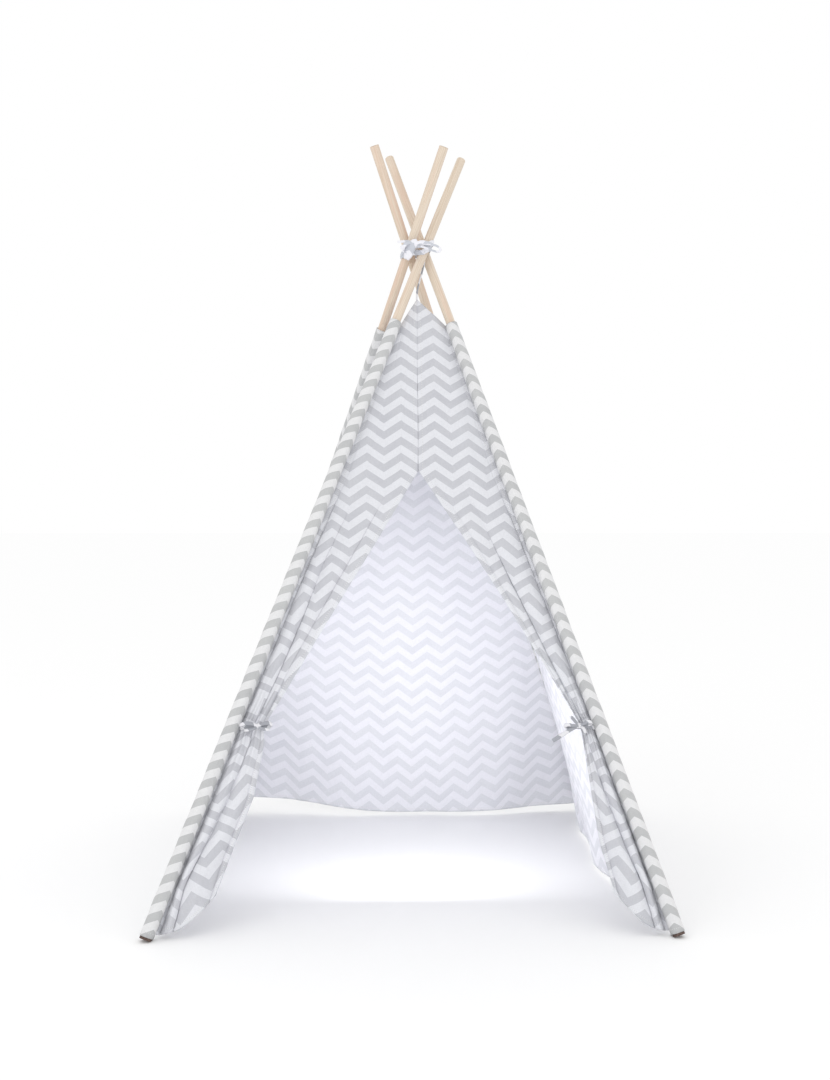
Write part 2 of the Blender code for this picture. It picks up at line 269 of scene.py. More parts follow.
def pine_material(name, early, late, blush, end_grain=False):
    """Pale pine dowel, planed and sanded but unvarnished: long grain, faint rings, a few darker streaks."""
    made, tree, shader = new_material(name, Roughness=0.62, Specular_IOR_Level=0.35)
    place = add_node(tree, "ShaderNodeAttribute", attribute_name="grain").outputs["Vector"]

    # Growth rings 2 to 3 mm apart, bent by slow noise, cut lengthwise by the lathe
    parts = add_node(tree, "ShaderNodeSeparateXYZ", {"Vector": place})
    drift = noise_node(tree, place, (30, 30, 3), 2)
    moved = math_node(tree, "MULTIPLY_ADD", drift, 0.016, parts.outputs["X"])
    ring = remap(tree, math_node(tree, "PINGPONG", moved, 0.0015), 0.0004, 0.0015, smooth=True)
    rings = math_node(tree, "MULTIPLY", ring, 0.9 if end_grain else 0.55)
    wood = blend_colours(tree, rings, linear(early), linear(late))

    # Darker streaks a few centimetres long
    streak = remap(tree, noise_node(tree, place, (70, 70, 4), 2), 0.5, 0.72)
    wood = blend_colours(tree, math_node(tree, "MULTIPLY", streak, 0.8), wood, linear(blush))

    # Fibres: long thin flecks, about 0.4 mm wide
    fibres = noise_node(tree, place, (1500, 1500, 1500 if end_grain else 22), 3)
    colour = shade_colour(tree, wood, remap(tree, fibres, 0.3, 0.75, 1.05, 0.86))
    finish_shader(tree, shader, colour, fibres, 0.3, 0.0004)
    return made


def rubber_material():
    """Moulded dark brown rubber: matt, faintly grainy, dusted grey where it scuffs the floor."""
    made, tree, shader = new_material("moulded_rubber", Roughness=0.8, Specular_IOR_Level=0.3)
    place = add_node(tree, "ShaderNodeTexCoord").outputs["Object"]
    dust = remap(tree, noise_node(tree, place, 160, 3), 0.45, 0.8, 0, 0.5)
    colour = blend_colours(tree, dust, linear("5A4A44"), linear("8A7A72"))
    finish_shader(tree, shader, colour, noise_node(tree, place, 900, 2), 0.3, 0.0003)
    return made


def tube_material():
    """Drawn aluminium tube: satin, with fine draw lines and a dull film of handling."""
    made, tree, shader = new_material("drawn_aluminium", Metallic=1.0, Roughness=0.38)
    place = add_node(tree, "ShaderNodeTexCoord").outputs["Object"]
    colour = blend_colours(tree, noise_node(tree, place, 60, 3), linear("C9CBCE"), linear("AFB1B4"))
    finish_shader(tree, shader, colour, noise_node(tree, place, 1400, 1), 0.1, 0.0002)
    return made


# The outside of the walls; their reverse, with its own paler print and a whiter ground that is painted light
# shining through the thin cloth; and the sleeves', ribbons' and lashing's own batches
PRINT = zigzag_cotton("zigzag_cotton_face", "DDDEE3", "C1C2C8", "C7C8CD")
PAINTED_LIGHT_REVERSE = zigzag_cotton("zigzag_cotton_reverse_painted_light", "EFEFF5", "E0E1E7", "E4E5EA")
SLEEVE_PRINT = zigzag_cotton("zigzag_cotton_sleeve", "DFDFE0", "B9BABB", "C2C3C3")
RIBBON_PRINT = zigzag_cotton("zigzag_cotton_ribbon", "E2E2E6", "9FA1A8", "A9ABB2")
LASH_PRINT = zigzag_cotton("zigzag_cotton_lashing", "EAEAF0", "C3C6CE", "CDD0D8")
PINE = pine_material("planed_pine", "E1D3C2", "CEB9A1", "DABFAC")
PINE_END = pine_material("sawn_pine_end", "C9B196", "A88C6E", "B59A80", end_grain=True)
RUBBER = rubber_material()
TUBE = tube_material()


# ---------------------------------------------------------------- shared shapes

def foot(corner):
    """Return where a pole's axis meets the floor."""
    side, depth = CORNERS[corner]
    return Vector((side * HALF_BASE, depth * HALF_BASE, 0))


def crossing(corner):
    """Return where a pole's axis passes the crown."""
    side, depth = CORNERS[corner]
    return CROWN + Vector((-depth * SPREAD_X, side * SPREAD_Y, 0))


def axis_point(corner, height):
    """Return the point of a pole's axis at a height above the floor."""
    return foot(corner).lerp(crossing(corner), height / CROWN.z)


def pole_frame(corner):
    """Return a pole's up, outward and rightward directions, as seen from outside the tent."""
    up = (crossing(corner) - foot(corner)).normalized()
    outward = Vector((foot(corner).x, foot(corner).y, 0)).normalized()
    outward = (outward - up * outward.dot(up)).normalized()
    return up, outward, up.cross(outward)


def smooth_step(value, low, high):
    """Rise smoothly from 0 at low to 1 at high."""
    share = min(max((value - low) / (high - low), 0), 1)
    return share * share * (3 - 2 * share)


def ripple(x, y, z=0.0):
    """Return gentle noise from about -1 to 1."""
    return noise.noise(Vector((x, y, z)))


def curve_through(points, steps):
    """Return a smooth line through the given points."""
    places = [Vector(point) for point in points]
    places = [places[0] * 2 - places[1]] + places + [places[-1] * 2 - places[-2]]
    line = []
    for before, start, end, after in zip(places, places[1:], places[2:], places[3:]):
        for step in range(steps):
            t = step / steps
            line.append(
                0.5
                * (
                    2 * start
                    + (end - before) * t
                    + (2 * before - 5 * start + 4 * end - after) * t**2
                    + (3 * start - 3 * end + after - before) * t**3
                )
            )
    return line + [places[-2]]


def add_piece(name, shape, materials, body, nodes):
    """Turn a bmesh into a smooth piece that rides on a body and stands for some CAD nodes."""
    mesh = bpy.data.meshes.new(name)
    shape.to_mesh(mesh)
    shape.free()
    for item in materials:
        mesh.materials.append(item)
    mesh.shade_smooth()
    made = bpy.data.objects.new(name, mesh)
    bpy.context.scene.collection.objects.link(made)
    if nodes:
        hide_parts(*nodes)
    if body:
        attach(made, body)
    return made


def woven_grid(points, prints, sewing):
    """Shape a grid to rows of points, lowest row first, and give it its print and its sewing lines."""
    rows, columns = len(points) - 1, len(points[0]) - 1
    shape = bmesh.new()
    bmesh.ops.create_grid(shape, x_segments=columns, y_segments=rows, size=0.5)
    print_map = shape.loops.layers.uv.new("print")
    sewing_map = shape.loops.layers.uv.new("sewing")
    where = {
        vert: (round((vert.co.y + 0.5) * rows), round((vert.co.x + 0.5) * columns)) for vert in shape.verts
    }
    for face in shape.faces:
        for loop in face.loops:
            row, column = where[loop.vert]
            loop[print_map].uv = prints[row][column]
            loop[sewing_map].uv = sewing[row][column]
    for vert, (row, column) in where.items():
        vert.co = points[row][column]
    return shape


def thicken(piece, thickness, offset, inside=1):
    """Give cloth its thickness, with the reverse of the print on its inner face."""
    wall = piece.modifiers.new("Thickness", "SOLIDIFY")
    wall.thickness = thickness
    wall.offset = offset
    wall.material_offset = inside
    return piece


def fold_with(piece):
    """Give a soft piece its own copy of its mesh."""
    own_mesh(piece)


# ---------------------------------------------------------------- poles

def build_poles():
    """Make the dowel sections, and finish the tubes and caps that the CAD gives."""
    for number, corner in enumerate(CORNERS):
        up, outward, right = pole_frame(corner)
        turn = Matrix((outward, right, up)).transposed().to_4x4()
        section = (POLE_LENGTH - POLE_START) / len(SECTIONS)
        for index, part in enumerate(SECTIONS):
            low = POLE_START + index * section
            length = section - 0.0003
            shape = bmesh.new()
            bmesh.ops.create_cone(
                shape, cap_ends=True, segments=40, radius1=POLE_RADIUS, radius2=POLE_RADIUS, depth=length
            )
            rims = [edge for edge in shape.edges if abs(edge.verts[0].co.z - edge.verts[1].co.z) < 1e-6]
            bmesh.ops.bevel(
                shape, geom=rims, offset=0.0011, offset_type="OFFSET", segments=3, profile=0.5,
                affect="EDGES", material=-1,
            )
            grain = shape.verts.layers.float_vector.new("grain")
            for vert in shape.verts:
                vert[grain] = vert.co + Vector((number * 0.31, index * 0.17, low + number * 1.7))
            for face in shape.faces:
                face.material_index = 1 if abs(face.normal.z) > 0.9 else 0
            place = Matrix.Translation(foot(corner) + up * (low + length / 2)) @ turn
            bmesh.ops.transform(shape, matrix=place, verts=shape.verts)
            piece = add_piece(
                "dowel_" + corner + "_" + part, shape, [PINE, PINE_END], "pole_" + corner,
                ["pole_" + corner + "_" + part],
            )
            piece.data.set_sharp_from_angle(angle=math.radians(50))
        finish_node("foot_cap_" + corner, RUBBER)
        finish_node("connector_" + corner + "_lower", TUBE)
        finish_node("connector_" + corner + "_middle", TUBE)


def finish_node(name, finish):
    """Give a CAD node a better material."""
    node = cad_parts[name]
    node.data.materials.clear()
    node.data.materials.append(finish)


# ---------------------------------------------------------------- sleeves

def build_sleeve(corner, slant, turn):
    """Wrap a printed sleeve round a pole: a pocket drawn out to its inner seam, creased and loose.

    The print's rows climb by slant as they go round, and turn shifts them round the pole.
    """
    up, outward, right = pole_frame(corner)
    length = (crossing(corner) - foot(corner)).length - SLEEVE_TOP - SLEEVE_START
    rows, columns = 190, 44
    seed = list(CORNERS).index(corner) * 7.3
    points, prints, sewing = [], [], []
    for row in range(rows + 1):
        along = length * row / rows
        centre = foot(corner) + up * (SLEEVE_START + along)
        from_end = min(along, length - along)
        line, print_line, sewing_line = [], [], []
        for column in range(columns + 1):
            angle = math.tau * (column / columns - 0.5)
            wrapped = angle % math.tau
            seam = math.exp(-((wrapped - math.pi) / 0.42) ** 2)
            crease = ripple(math.cos(angle) * 1.3 + seed, math.sin(angle) * 1.3, along * 22)
            diagonal = ripple(seed, math.sin(angle) * 0.9 + along * 34, along * 8)
            loose = 0.00085 * smooth_step(from_end, 0, 0.05)
            radius = SLEEVE_RADIUS + 0.0035 * seam + loose * (0.45 + crease + 0.55 * diagonal)
            radius = max(radius, SLEEVE_RADIUS - 0.0002)
            line.append(centre + (outward * math.cos(angle) + right * math.sin(angle)) * radius)
            around = angle * SLEEVE_RADIUS
            print_line.append((around + turn, along - slant * around + 0.004 * ripple(seed, along * 3)))
            sewing_line.append((from_end, around))
        points.append(line)
        prints.append(print_line)
        sewing.append(sewing_line)
    shape = woven_grid(points, prints, sewing)
    bmesh.ops.remove_doubles(shape, verts=shape.verts, dist=WELD)
    piece = add_piece(
        "sleeve_cloth_" + corner, shape, [SLEEVE_PRINT, PAINTED_LIGHT_REVERSE], "pole_" + corner,
        ["sleeve_" + corner],
    )
    thicken(piece, 0.0007, -1)


# ---------------------------------------------------------------- side and back walls

def seam_point(corner, other, height, inwards):
    """Return where a wall's edge is sewn in, just behind and beside a sleeve."""
    here = axis_point(corner, height)
    towards = (axis_point(other, height) - here).normalized()
    return here + towards * SEAM_ASIDE + inwards * SEAM_INSIDE


def build_wall(name, first, second, inwards, sag, skew, lift=0.0):
    """Hang a side or back wall: flat above, sagging inwards to its hem, with soft upright folds.

    Skew moves the deepest sag off the middle, and lift raises the hem towards the second corner.
    """
    rows, columns = 170, 120
    seed = len(name) * 3.7
    points, prints, sewing = [], [], []
    for row in range(rows + 1):
        upward = row / rows
        down = 1 - upward
        # The print hangs lower in the cloth's middle than at its seams
        drawn = 0.107 * down**2.8
        line, print_line, sewing_line = [], [], []
        for column in range(columns + 1):
            across = column / columns
            swell = math.sin(math.pi * across**skew)
            hem = 0.022 - 0.014 * math.sin(math.pi * across) + lift * smooth_step(across, 0.5, 0.9)
            dip = 0.012 * math.sin(math.pi * across)
            height = hem + (WALL_TOP - dip - hem) * upward
            left = seam_point(first, second, height, inwards)
            right = seam_point(second, first, height, inwards)
            place = left.lerp(right, across)
            width = (right - left).length
            beside = (across - 0.5) * width
            to_side = min(across, 1 - across)
            edge_fade = smooth_step(to_side * width, 0, 0.05)
            folds = 0.0062 * ripple(beside * 7.5 + seed, upward * 1.5) * down**0.7
            folds += 0.0026 * ripple(beside * 21 + seed, upward * 3.2 + seed)
            folds += 0.0011 * ripple(beside * 52, upward * 14 + seed)
            pull = 0.0030 * ripple(across * 2.5 + seed, upward * 9) * math.exp(-to_side * 9)
            flutter = 0.008 * math.sin(across * 19 + seed) * smooth_step(down, 0.86, 1) * edge_fade
            inward = sag * swell * down**2.4 + (folds + flutter + pull) * edge_fade
            line.append(place + inwards * inward)
            climb = height / WALL_SLOPE
            hang = drawn * math.sin(math.pi * across)
            print_line.append((beside + WALL_PRINT_ASIDE, climb - WALL_PRINT_DOWN + hang))
            from_side = to_side * width
            from_hem = upward * 1.29
            sewing_line.append((from_hem, beside) if from_hem < from_side else (from_side, climb))
        points.append(line)
        prints.append(print_line)
        sewing.append(sewing_line)
    piece = add_piece(
        name + "_wall_cloth", woven_grid(points, prints, sewing), [PRINT, PAINTED_LIGHT_REVERSE], name + "_wall",
        [name + "_panel"],
    )
    thicken(piece, CLOTH, 0)
    fold_with(piece)


# ---------------------------------------------------------------- front halves

# Each half's free edge as (across, up), and its pleats as (place at the top, at the tie and at the hem,
# direction, depth at the tie and at the hem, and how far it runs up and down from the tie)
HALVES = {
    "left": {
        "corner": "front_left",
        "edge": (
            (0.0172, 0.8875), (-0.0636, 0.7514), (-0.1446, 0.6200), (-0.2034, 0.5221),
            (-0.2600, 0.4280), (-0.2890, 0.3820), (-0.2905, 0.3640), (-0.2890, 0.3480),
            (-0.3076, 0.2489), (-0.3442, 0.1553), (-0.3728, 0.0778),
        ),
        "pleats": (
            (0.10, 0.10, 0.06, 1, 0.034, 0.050, 0.50, 0.60),
            (0.32, 0.56, 0.22, -1, 0.020, 0.006, 0.33, 0.24),
            (0.74, 0.84, 0.86, -1, 0.009, 0.0003, 0.12, 0.06),
        ),
        "seed": 2.1,
    },
    "right": {
        "corner": "front_right",
        "edge": (
            (0.0172, 0.8875), (0.1060, 0.7540), (0.1911, 0.6195), (0.2520, 0.5170),
            (0.3040, 0.4290), (0.3290, 0.3840), (0.3345, 0.3640), (0.3361, 0.3498),
            (0.3459, 0.2763), (0.3592, 0.1686), (0.3840, 0.0778),
        ),
        "pleats": (
            (0.10, 0.10, 0.06, 1, 0.034, 0.050, 0.50, 0.60),
            (0.54, 0.66, 0.20, -1, 0.022, 0.006, 0.42, 0.27),
            (0.86, 0.88, 0.88, -1, 0.008, 0.0003, 0.10, 0.07),
        ),
        "seed": 5.6,
    },
}
# How far the print turns by the tail, and the columns in each run of cloth between pleats
TAIL_TURN = math.radians(14)
SPAN_COLUMNS = (8, 30, 26, 14)
FLAT_PLEAT = 0.0003


def front_point(x, height):
    """Return the point of the plane of the front poles at a place across and a height."""
    left = axis_point("front_left", height)
    right = axis_point("front_right", height)
    return left.lerp(right, (x - left.x) / (right.x - left.x))


def front_axes():
    """Return the front plane's directions across, up and outwards."""
    across = (foot("front_right") - foot("front_left")).normalized()
    up = (front_point(0, 1.0) - front_point(0, 0.0)).normalized()
    return across, up, across.cross(up).normalized()


def edge_x(edge, height):
    """Return how far across a front half's free edge lies at a height."""
    if height >= APEX_Z:
        return SEAM_X
    for (x_high, z_high), (x_low, z_low) in zip(edge, edge[1:]):
        if height >= z_low:
            return x_low + (x_high - x_low) * (height - z_low) / (z_high - z_low)
    return edge[-1][0]


def pleat_at(pleat, height):
    """Return a pleat's place across the cloth, its direction and how deep it tucks at a height."""
    share_top, share_tie, share_hem, direction, depth, depth_hem, reach_up, reach_down = pleat
    if height > TIE_Z:
        away = min((height - TIE_Z) / reach_up, 1)
        return share_tie + (share_top - share_tie) * away, direction, FLAT_PLEAT + depth * (1 - away) ** 1.2
    away = min((TIE_Z - height) / reach_down, 1)
    return share_tie + (share_hem - share_tie) * away, direction, depth + (depth_hem - depth) * away


def half_profile(pleats, width, height):
    """Return one row of a gathered half as (across, out) spots from the sleeve to the free edge."""
    spots = []
    here, level = 0.0, 0.0
    loose = smooth_step(TIE_Z - height, 0.02, 0.25)
    for number, pleat in enumerate(list(pleats) + [None]):
        if pleat:
            share, direction, depth = pleat_at(pleat, height)
            room = width * (1 - share) - 0.008 if direction > 0 else width * share + 0.001
            depth = max(min(depth, room), FLAT_PLEAT)
            gap = min(0.0032 + 0.0028 * loose, depth * 0.5)
            target = width * share
            end_level = -2 * gap if direction > 0 else 0.0
        else:
            target, end_level = width, 0.0
        columns = SPAN_COLUMNS[number]
        span = target - here
        bulge = min(0.0115, 0.24 * span) * smooth_step(0.95 - height, 0, 0.45)
        for step in range(columns + 1):
            share = step / columns
            rise = bulge * math.sin(math.pi * share) ** 0.8 if 0 < share < 1 else 0.0
            spots.append((here + span * share, level + (end_level - level) * share + rise))
        if not pleat:
            break
        turn = gap * 0.5
        tuck = [
            (target + turn * 0.8, -0.2 * gap), (target + turn, -0.5 * gap), (target + turn * 0.8, -0.8 * gap),
            (target - depth * 0.3, -gap), (target - depth * 0.7, -gap), (target - depth, -gap),
            (target - depth - turn, -1.5 * gap), (target - depth, -2 * gap),
            (target - depth * 0.6, -2 * gap), (target - depth * 0.2, -2 * gap),
        ]
        if direction > 0:
            tuck = [(2 * target - across, out) for across, out in tuck[::-1]]
        spots += tuck
        here, level = target, (0.0 if direction > 0 else -2 * gap)
    return spots


def build_front_half(name):
    """Hang one front half: sewn to its sleeve and the centre seam, pleated into its tie, loose below it."""
    half = HALVES[name]
    side = -1 if name == "left" else 1
    corner = half["corner"]
    other = "front_right" if name == "left" else "front_left"
    plane_across, plane_up, outwards = front_axes()
    rows = 300
    tail_z = half["edge"][-1][1]
    ends = []
    for row in range(rows + 1):
        down = 1 - row / rows
        inner_z = PEAK_Z + (tail_z - PEAK_Z) * down
        drop = (PEAK_Z - OUTER_TOP) * smooth_step(inner_z, 0.80, PEAK_Z)
        drop += (tail_z - OUTER_HEM) * smooth_step(TIE_Z - inner_z, 0, TIE_Z - tail_z)
        inner = front_point(edge_x(half["edge"], inner_z), inner_z)
        outer = seam_point(corner, other, inner_z - drop, -outwards)
        ends.append((inner, outer, inner_z))

    # The print is carried down the free edge, turning a little as the cloth is drawn aside
    origins = [Vector((0, 0, 0))] * (rows + 1)
    turns = [0.0] * (rows + 1)
    origin = Vector((0.0, ends[rows][2] / plane_up.z + 0.005, 0))
    for row in range(rows, -1, -1):
        inner, _, inner_z = ends[row]
        turns[row] = -side * TAIL_TURN * smooth_step(0.80 - inner_z, 0, 0.52)
        if row < rows:
            moved = inner - ends[row + 1][0]
            flat = Vector((moved.dot(plane_across), moved.dot(plane_up), 0))
            origin = origin + Matrix.Rotation(-turns[row], 3, "Z") @ flat
        origins[row] = origin

    points, prints, sewing = [], [], []
    for row in range(rows + 1):
        inner, outer, inner_z = ends[row]
        width = (inner - outer).length
        run = (inner - outer).normalized()
        line = []
        from_tail = max(inner_z - tail_z, 0)
        for across, out in half_profile(half["pleats"], width, inner_z):
            share = min(max(across / width, 0), 1)
            place = outer + run * across
            belly = (1 - smooth_step(from_tail, 0, 0.075)) * math.sin(math.pi * share ** 0.8)
            place = place + Vector((-side * 0.45, 0, -0.89)) * belly * 0.018
            edge_fade = smooth_step(share * width, 0, 0.02)
            seam = smooth_step((1 - share) * width, 0, 0.014) if inner_z > APEX_Z - 0.01 else 1.0
            loose = smooth_step(1.0 - inner_z, 0, 0.5)
            soft = 0.0040 * ripple(across * 9 + half["seed"], inner_z * 2.2) * loose
            soft += 0.0021 * ripple(across * 24 + half["seed"], inner_z * 6)
            soft += 0.0008 * ripple(across * 60, inner_z * 22 + half["seed"])
            soft += 0.0024 * math.sin(share * 34 + half["seed"]) * math.exp(-abs(inner_z - TIE_Z) / 0.07)
            tail = smooth_step(TIE_Z - inner_z, 0.03, 0.25)
            soft += tail * 0.010 * math.sin(math.pi * share * 1.2 + 0.4)
            raised = out - 0.0012 * (1 - seam) + soft * edge_fade
            line.append(place + outwards * (raised - 0.004))
        lengths = [0.0]
        for before, after in zip(line[::-1], line[::-1][1:]):
            lengths.append(lengths[-1] + (after - before).length)
        lengths = lengths[::-1]
        leftover = Vector((-run.dot(plane_across), -run.dot(plane_up), 0)).normalized()
        heading = Matrix.Rotation(-turns[row], 3, "Z") @ leftover
        from_hem = row / rows * 1.25
        print_line, sewing_line = [], []
        for from_edge in lengths:
            at = origins[row] + heading * from_edge
            print_line.append((at.x, at.y))
            nearest = min(from_edge, lengths[0] - from_edge, from_hem)
            sewing_line.append((nearest, at.x if nearest == from_hem else at.y))
        points.append(line)
        prints.append(print_line)
        sewing.append(sewing_line)
    if name == "right":
        points = [line[::-1] for line in points]
        prints = [line[::-1] for line in prints]
        sewing = [line[::-1] for line in sewing]
    piece = add_piece(
        "front_" + name + "_cloth", woven_grid(points, prints, sewing), [PRINT, PAINTED_LIGHT_REVERSE], "front_wall",
        ["front_" + name + "_panel"],
    )
    thicken(piece, CLOTH, 0)
    fold_with(piece)


# ---------------------------------------------------------------- ribbons

def sample(values, share):
    """Return the value a share of the way along an evenly spaced list."""
    if len(values) == 1:
        return values[0]
    spot = share * (len(values) - 1)
    first = min(int(spot), len(values) - 2)
    return values[first] * (1 - spot + first) + values[first + 1] * (spot - first)


def ribbon_shape(route, faces, widths, phase, steps=10, curl=0.12, crumple=0.0006):
    """Lay a folded cloth ribbon along a route; faces are the ways its flat side looks along it."""
    line = curve_through(route, steps)
    last = len(line) - 1
    columns = 6
    points, prints, sewing = [], [], []
    run = 0.0
    for number, here in enumerate(line):
        ahead = (line[min(number + 1, last)] - line[max(number - 1, 0)]).normalized()
        across = ahead.cross(sample(faces, number / last)).normalized()
        look = across.cross(ahead).normalized()
        width = sample(widths, number / last)
        if number:
            run += (here - line[number - 1]).length
        row, print_row, sewing_row = [], [], []
        for column in range(columns + 1):
            off = column / columns - 0.5
            rise = curl * width * (1 - 4 * off * off) + crumple * ripple(run * 160 + phase * 9, off * 3)
            row.append(here + across * off * width + look * rise)
            print_row.append((off * width + phase, run + phase))
            sewing_row.append((UNSEWN, run))
        points.append(row)
        prints.append(print_row)
        sewing.append(sewing_row)
    return woven_grid(points, prints, sewing)


def add_ribbon(name, shape, body, nodes, finish, thickness=0.0007):
    """Add a ribbon piece in the given print."""
    piece = add_piece(name, shape, [finish], body, nodes)
    thicken(piece, thickness, 0, inside=0)
    return piece


def knot_shape(centre, axes, size):
    """Return a small pulled-tight knot: a rounded lump with a few turned folds."""
    across, up, out = axes
    shape = bmesh.new()
    bmesh.ops.create_icosphere(shape, subdivisions=4, radius=1.0)
    print_map = shape.loops.layers.uv.new("print")
    sewing_map = shape.loops.layers.uv.new("sewing")
    for face in shape.faces:
        for loop in face.loops:
            loop[print_map].uv = (loop.vert.co.x * size[0] + 0.010, loop.vert.co.y * size[1] + 0.003)
            loop[sewing_map].uv = (UNSEWN, UNSEWN)
    for vert in shape.verts:
        ball = vert.co.copy()
        turned = 0.13 * math.sin(5 * ball.x + 7 * ball.y)
        ball *= 1 + turned + 0.16 * ripple(ball.x * 2.3, ball.y * 2.3, ball.z * 2.3)
        vert.co = centre + across * ball.x * size[0] + up * ball.y * size[1] + out * ball.z * size[2]
    return shape


def joined(shapes):
    """Put several bmeshes into one."""
    whole = shapes[0]
    for other in shapes[1:]:
        mesh = bpy.data.meshes.new("scrap")
        other.to_mesh(mesh)
        other.free()
        whole.from_mesh(mesh)
        bpy.data.meshes.remove(mesh)
    return whole


def spots_at(centre, axes, spots):
    """Place (across, up, out) millimetre spots round a centre."""
    across, up, out = axes
    return [centre + across * x / 1000 + up * y / 1000 + out * z / 1000 for x, y, z in spots]


def strand_looks(line, lean, loop):
    """Face a strand forwards; a loop folds over at its tip and comes back behind itself."""
    if not loop:
        return (lean, lean)
    tip = (line[len(line) // 2] - line[0]).normalized()
    return (lean, lean, tip, -lean, -lean)


def bow_shape(knot, axes, size, strands, step, start):
    """Return a knot with its loops and tails; each strand's print starts a step after the last one's."""
    _, up, out = axes
    shapes = [knot_shape(knot, axes, size)]
    for number, (spots, widths, tilt, loop) in enumerate(strands):
        line = spots_at(knot, axes, spots)
        looks = strand_looks(line, (out + up * tilt).normalized(), loop)
        shapes.append(ribbon_shape(line, looks, widths, step * number + start))
    return joined(shapes)


# Strands are (spots from the knot, widths along them, upward lean, whether it is a loop); a tie also has
# its knot's place as (across, up) and its strap's spots. Spots are (across, up, out) millimetres.
TIES = {
    "left": {
        "knot": (-0.3010, 0.3775),
        "strap": (
            (-36, -2, -14), (-24, -1, -5), (-10, 0, -1), (4, 0, -2), (11, 1, -9),
            (12, 1, -17), (2, 1, -23), (-12, 0, -22), (-26, -1, -19),
        ),
        "strands": (
            (
                ((0, 0, 2), (-11, 3, 6), (-24, 4, 8), (-34, 1, 5), (-25, -2, 2), (-12, -2, 1), (0, -1, 1)),
                (0.005, 0.008, 0.008, 0.005), 0.1, True,
            ),
            (
                ((0, 0, 2), (10, 3, 6), (19, 5, 7), (28, 1, 5), (20, -2, 2), (9, -2, 1), (0, -1, 1)),
                (0.005, 0.008, 0.008, 0.005), 0.1, True,
            ),
            (((0, 0, 1), (-6, -5, 4), (-14, -8, 5), (-26, -9, 4)), (0.004, 0.006, 0.006, 0.005), 0.2, False),
            (((0, 0, 1), (5, -4, 4), (13, -7, 5), (23, -8, 5)), (0.004, 0.006, 0.006, 0.005), 0.2, False),
        ),
    },
    "right": {
        "knot": (0.3295, 0.3745),
        "strap": (
            (32, -2, -14), (22, -1, -6), (10, 0, -2), (-3, 0, -2), (-10, 1, -9),
            (-11, 1, -17), (-2, 1, -23), (10, 0, -22), (24, -1, -19),
        ),
        "strands": (
            (
                ((0, 0, 1), (-10, -4, 4), (-22, -10, 5), (-38, -20, 5), (-55, -30, 4)),
                (0.005, 0.007, 0.008, 0.008, 0.0075), 0.1, False,
            ),
            (((0, 0, 1), (-7, 6, 4), (-13, 13, 5), (-18, 18, 5)), (0.004, 0.006, 0.006, 0.005), 0.1, False),
            (
                ((0, 0, 2), (-12, -1, 6), (-23, 1, 8), (-31, -1, 5), (-24, -3, 2), (-12, -3, 1), (0, -1, 1)),
                (0.004, 0.007, 0.007, 0.005), 0.1, True,
            ),
            (
                ((0, 0, 2), (8, 3, 6), (17, 7, 8), (24, 5, 5), (17, 2, 2), (8, 0, 1), (0, 0, 1)),
                (0.005, 0.007, 0.007, 0.005), 0.1, True,
            ),
            (((0, 0, 1), (6, -5, 4), (9, -11, 5), (10, -16, 5)), (0.004, 0.006, 0.006, 0.005), 0.1, False),
        ),
    },
}
TIE_KNOT_OUT = 0.0100
TIE_KNOT_SIZE = (0.0052, 0.0046, 0.0042)


def build_tie(name):
    """Tie one door half back: a strap round the gathers, a knot, and its loops and tails."""
    tie = TIES[name]
    corner = HALVES[name]["corner"]
    axes = front_axes()
    across, _, out = axes
    centre = front_point(*tie["knot"]) + out * TIE_KNOT_OUT
    line = spots_at(centre, axes, tie["strap"])
    band = ribbon_shape(line, [strap_look(p, centre, out) for p in line], (0.008, 0.0075, 0.008), 0.004)
    bow = bow_shape(centre, axes, TIE_KNOT_SIZE, tie["strands"], 0.011, 0.002)
    body = "pole_" + corner
    for piece in (
        add_ribbon(name + "_tie_strap", band, body, [name + "_tie_ribbon"], RIBBON_PRINT),
        add_ribbon(name + "_tie_bow_cloth", bow, body, [name + "_tie_bow"], RIBBON_PRINT),
    ):
        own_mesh(piece)


def strap_look(point, centre, out):
    """Face a strap away from the middle of the gathers it holds."""
    look = point - (centre - out * 0.010)
    return look.normalized() if look.length > 0.002 else out


